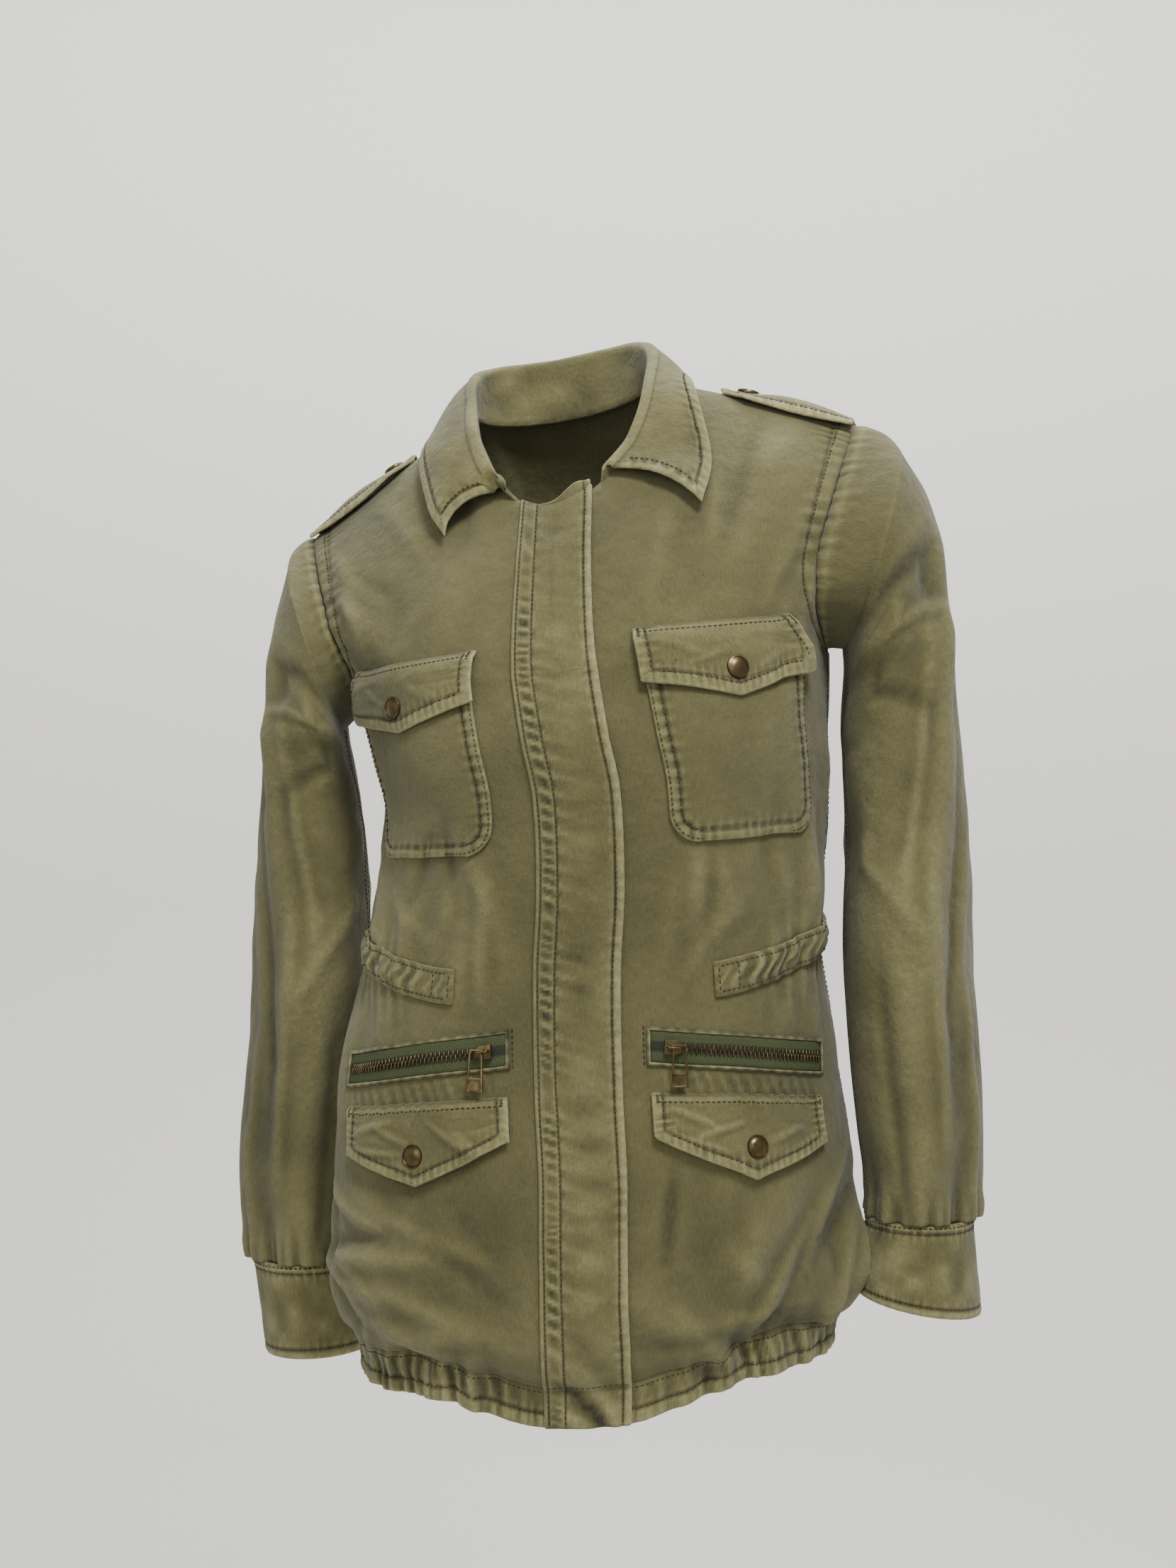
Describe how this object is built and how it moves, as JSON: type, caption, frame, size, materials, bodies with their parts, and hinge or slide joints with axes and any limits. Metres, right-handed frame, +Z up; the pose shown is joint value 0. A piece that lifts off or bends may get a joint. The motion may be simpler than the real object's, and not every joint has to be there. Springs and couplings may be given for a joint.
{
  "type": "military jacket as worn, with no wearer",
  "caption": "Hollow hip-length utility jacket in worn pose, with shirt collar, epaulettes, patch pockets, hip zips, waist casing and gathered hem.",
  "frame": {"origin": "midway between the two sides of the neck, on the shoulder line, where the wearer carries the jacket", "axes": "+Z up, -Y the way the hips and the lower front face, +X towards the wearer's left"},
  "size_m": [0.5275, 0.2651, 0.7209],
  "materials": {
    "olive_cotton": "matte garment-dyed cotton twill",
    "olive_trim": "matte garment-dyed cotton twill, doubled",
    "green_tape": "matte woven herringbone tape",
    "old_brass": "antique, half matte"
  },
  "bodies": {
    "jacket": {"back": "olive_cotton", "front_left": "olive_cotton", "front_right": "olive_cotton", "fly_flap": "olive_trim", "collar": "olive_trim", "sleeve_left": "olive_cotton", "sleeve_right": "olive_cotton", "cuff_left": "olive_trim", "cuff_right": "olive_trim", "hem_band": "olive_trim", "waist_casing": "olive_cotton", "chest_pocket_left": "olive_cotton", "chest_pocket_right": "olive_cotton", "chest_flap_left": "olive_trim", "chest_flap_right": "olive_trim", "lower_flap_left": "olive_trim", "lower_flap_right": "olive_trim", "epaulette_left": "olive_trim", "epaulette_right": "olive_trim", "zip_rim_left": "olive_trim", "zip_rim_right": "olive_trim", "zip_tape_left": "green_tape", "zip_tape_right": "green_tape", "zip_teeth_left": "old_brass", "zip_teeth_right": "old_brass", "zip_slider_left": "old_brass", "zip_slider_right": "old_brass", "chest_snap_left": "old_brass", "chest_snap_right": "old_brass", "lower_snap_left": "old_brass", "lower_snap_right": "old_brass", "epaulette_snap_left": "old_brass", "epaulette_snap_right": "old_brass"},
    "pull_tab_left": {"pull_tab_left": "old_brass"},
    "pull_tab_right": {"pull_tab_right": "old_brass"}
  },
  "joints": [
    {"name": "left_pull_tab_swing", "type": "hinge", "parent": "jacket", "child": "pull_tab_left", "pos_m": [0.07001, -0.11337, -0.42999], "axis": [0.1989, -0.9769, 0.0779], "range_deg": [-12, 75]},
    {"name": "right_pull_tab_swing", "type": "hinge", "parent": "jacket", "child": "pull_tab_right", "pos_m": [-0.05903, -0.11868, -0.43391], "axis": [0.1276, 0.9803, -0.1509], "range_deg": [-12, 75]}
  ]
}
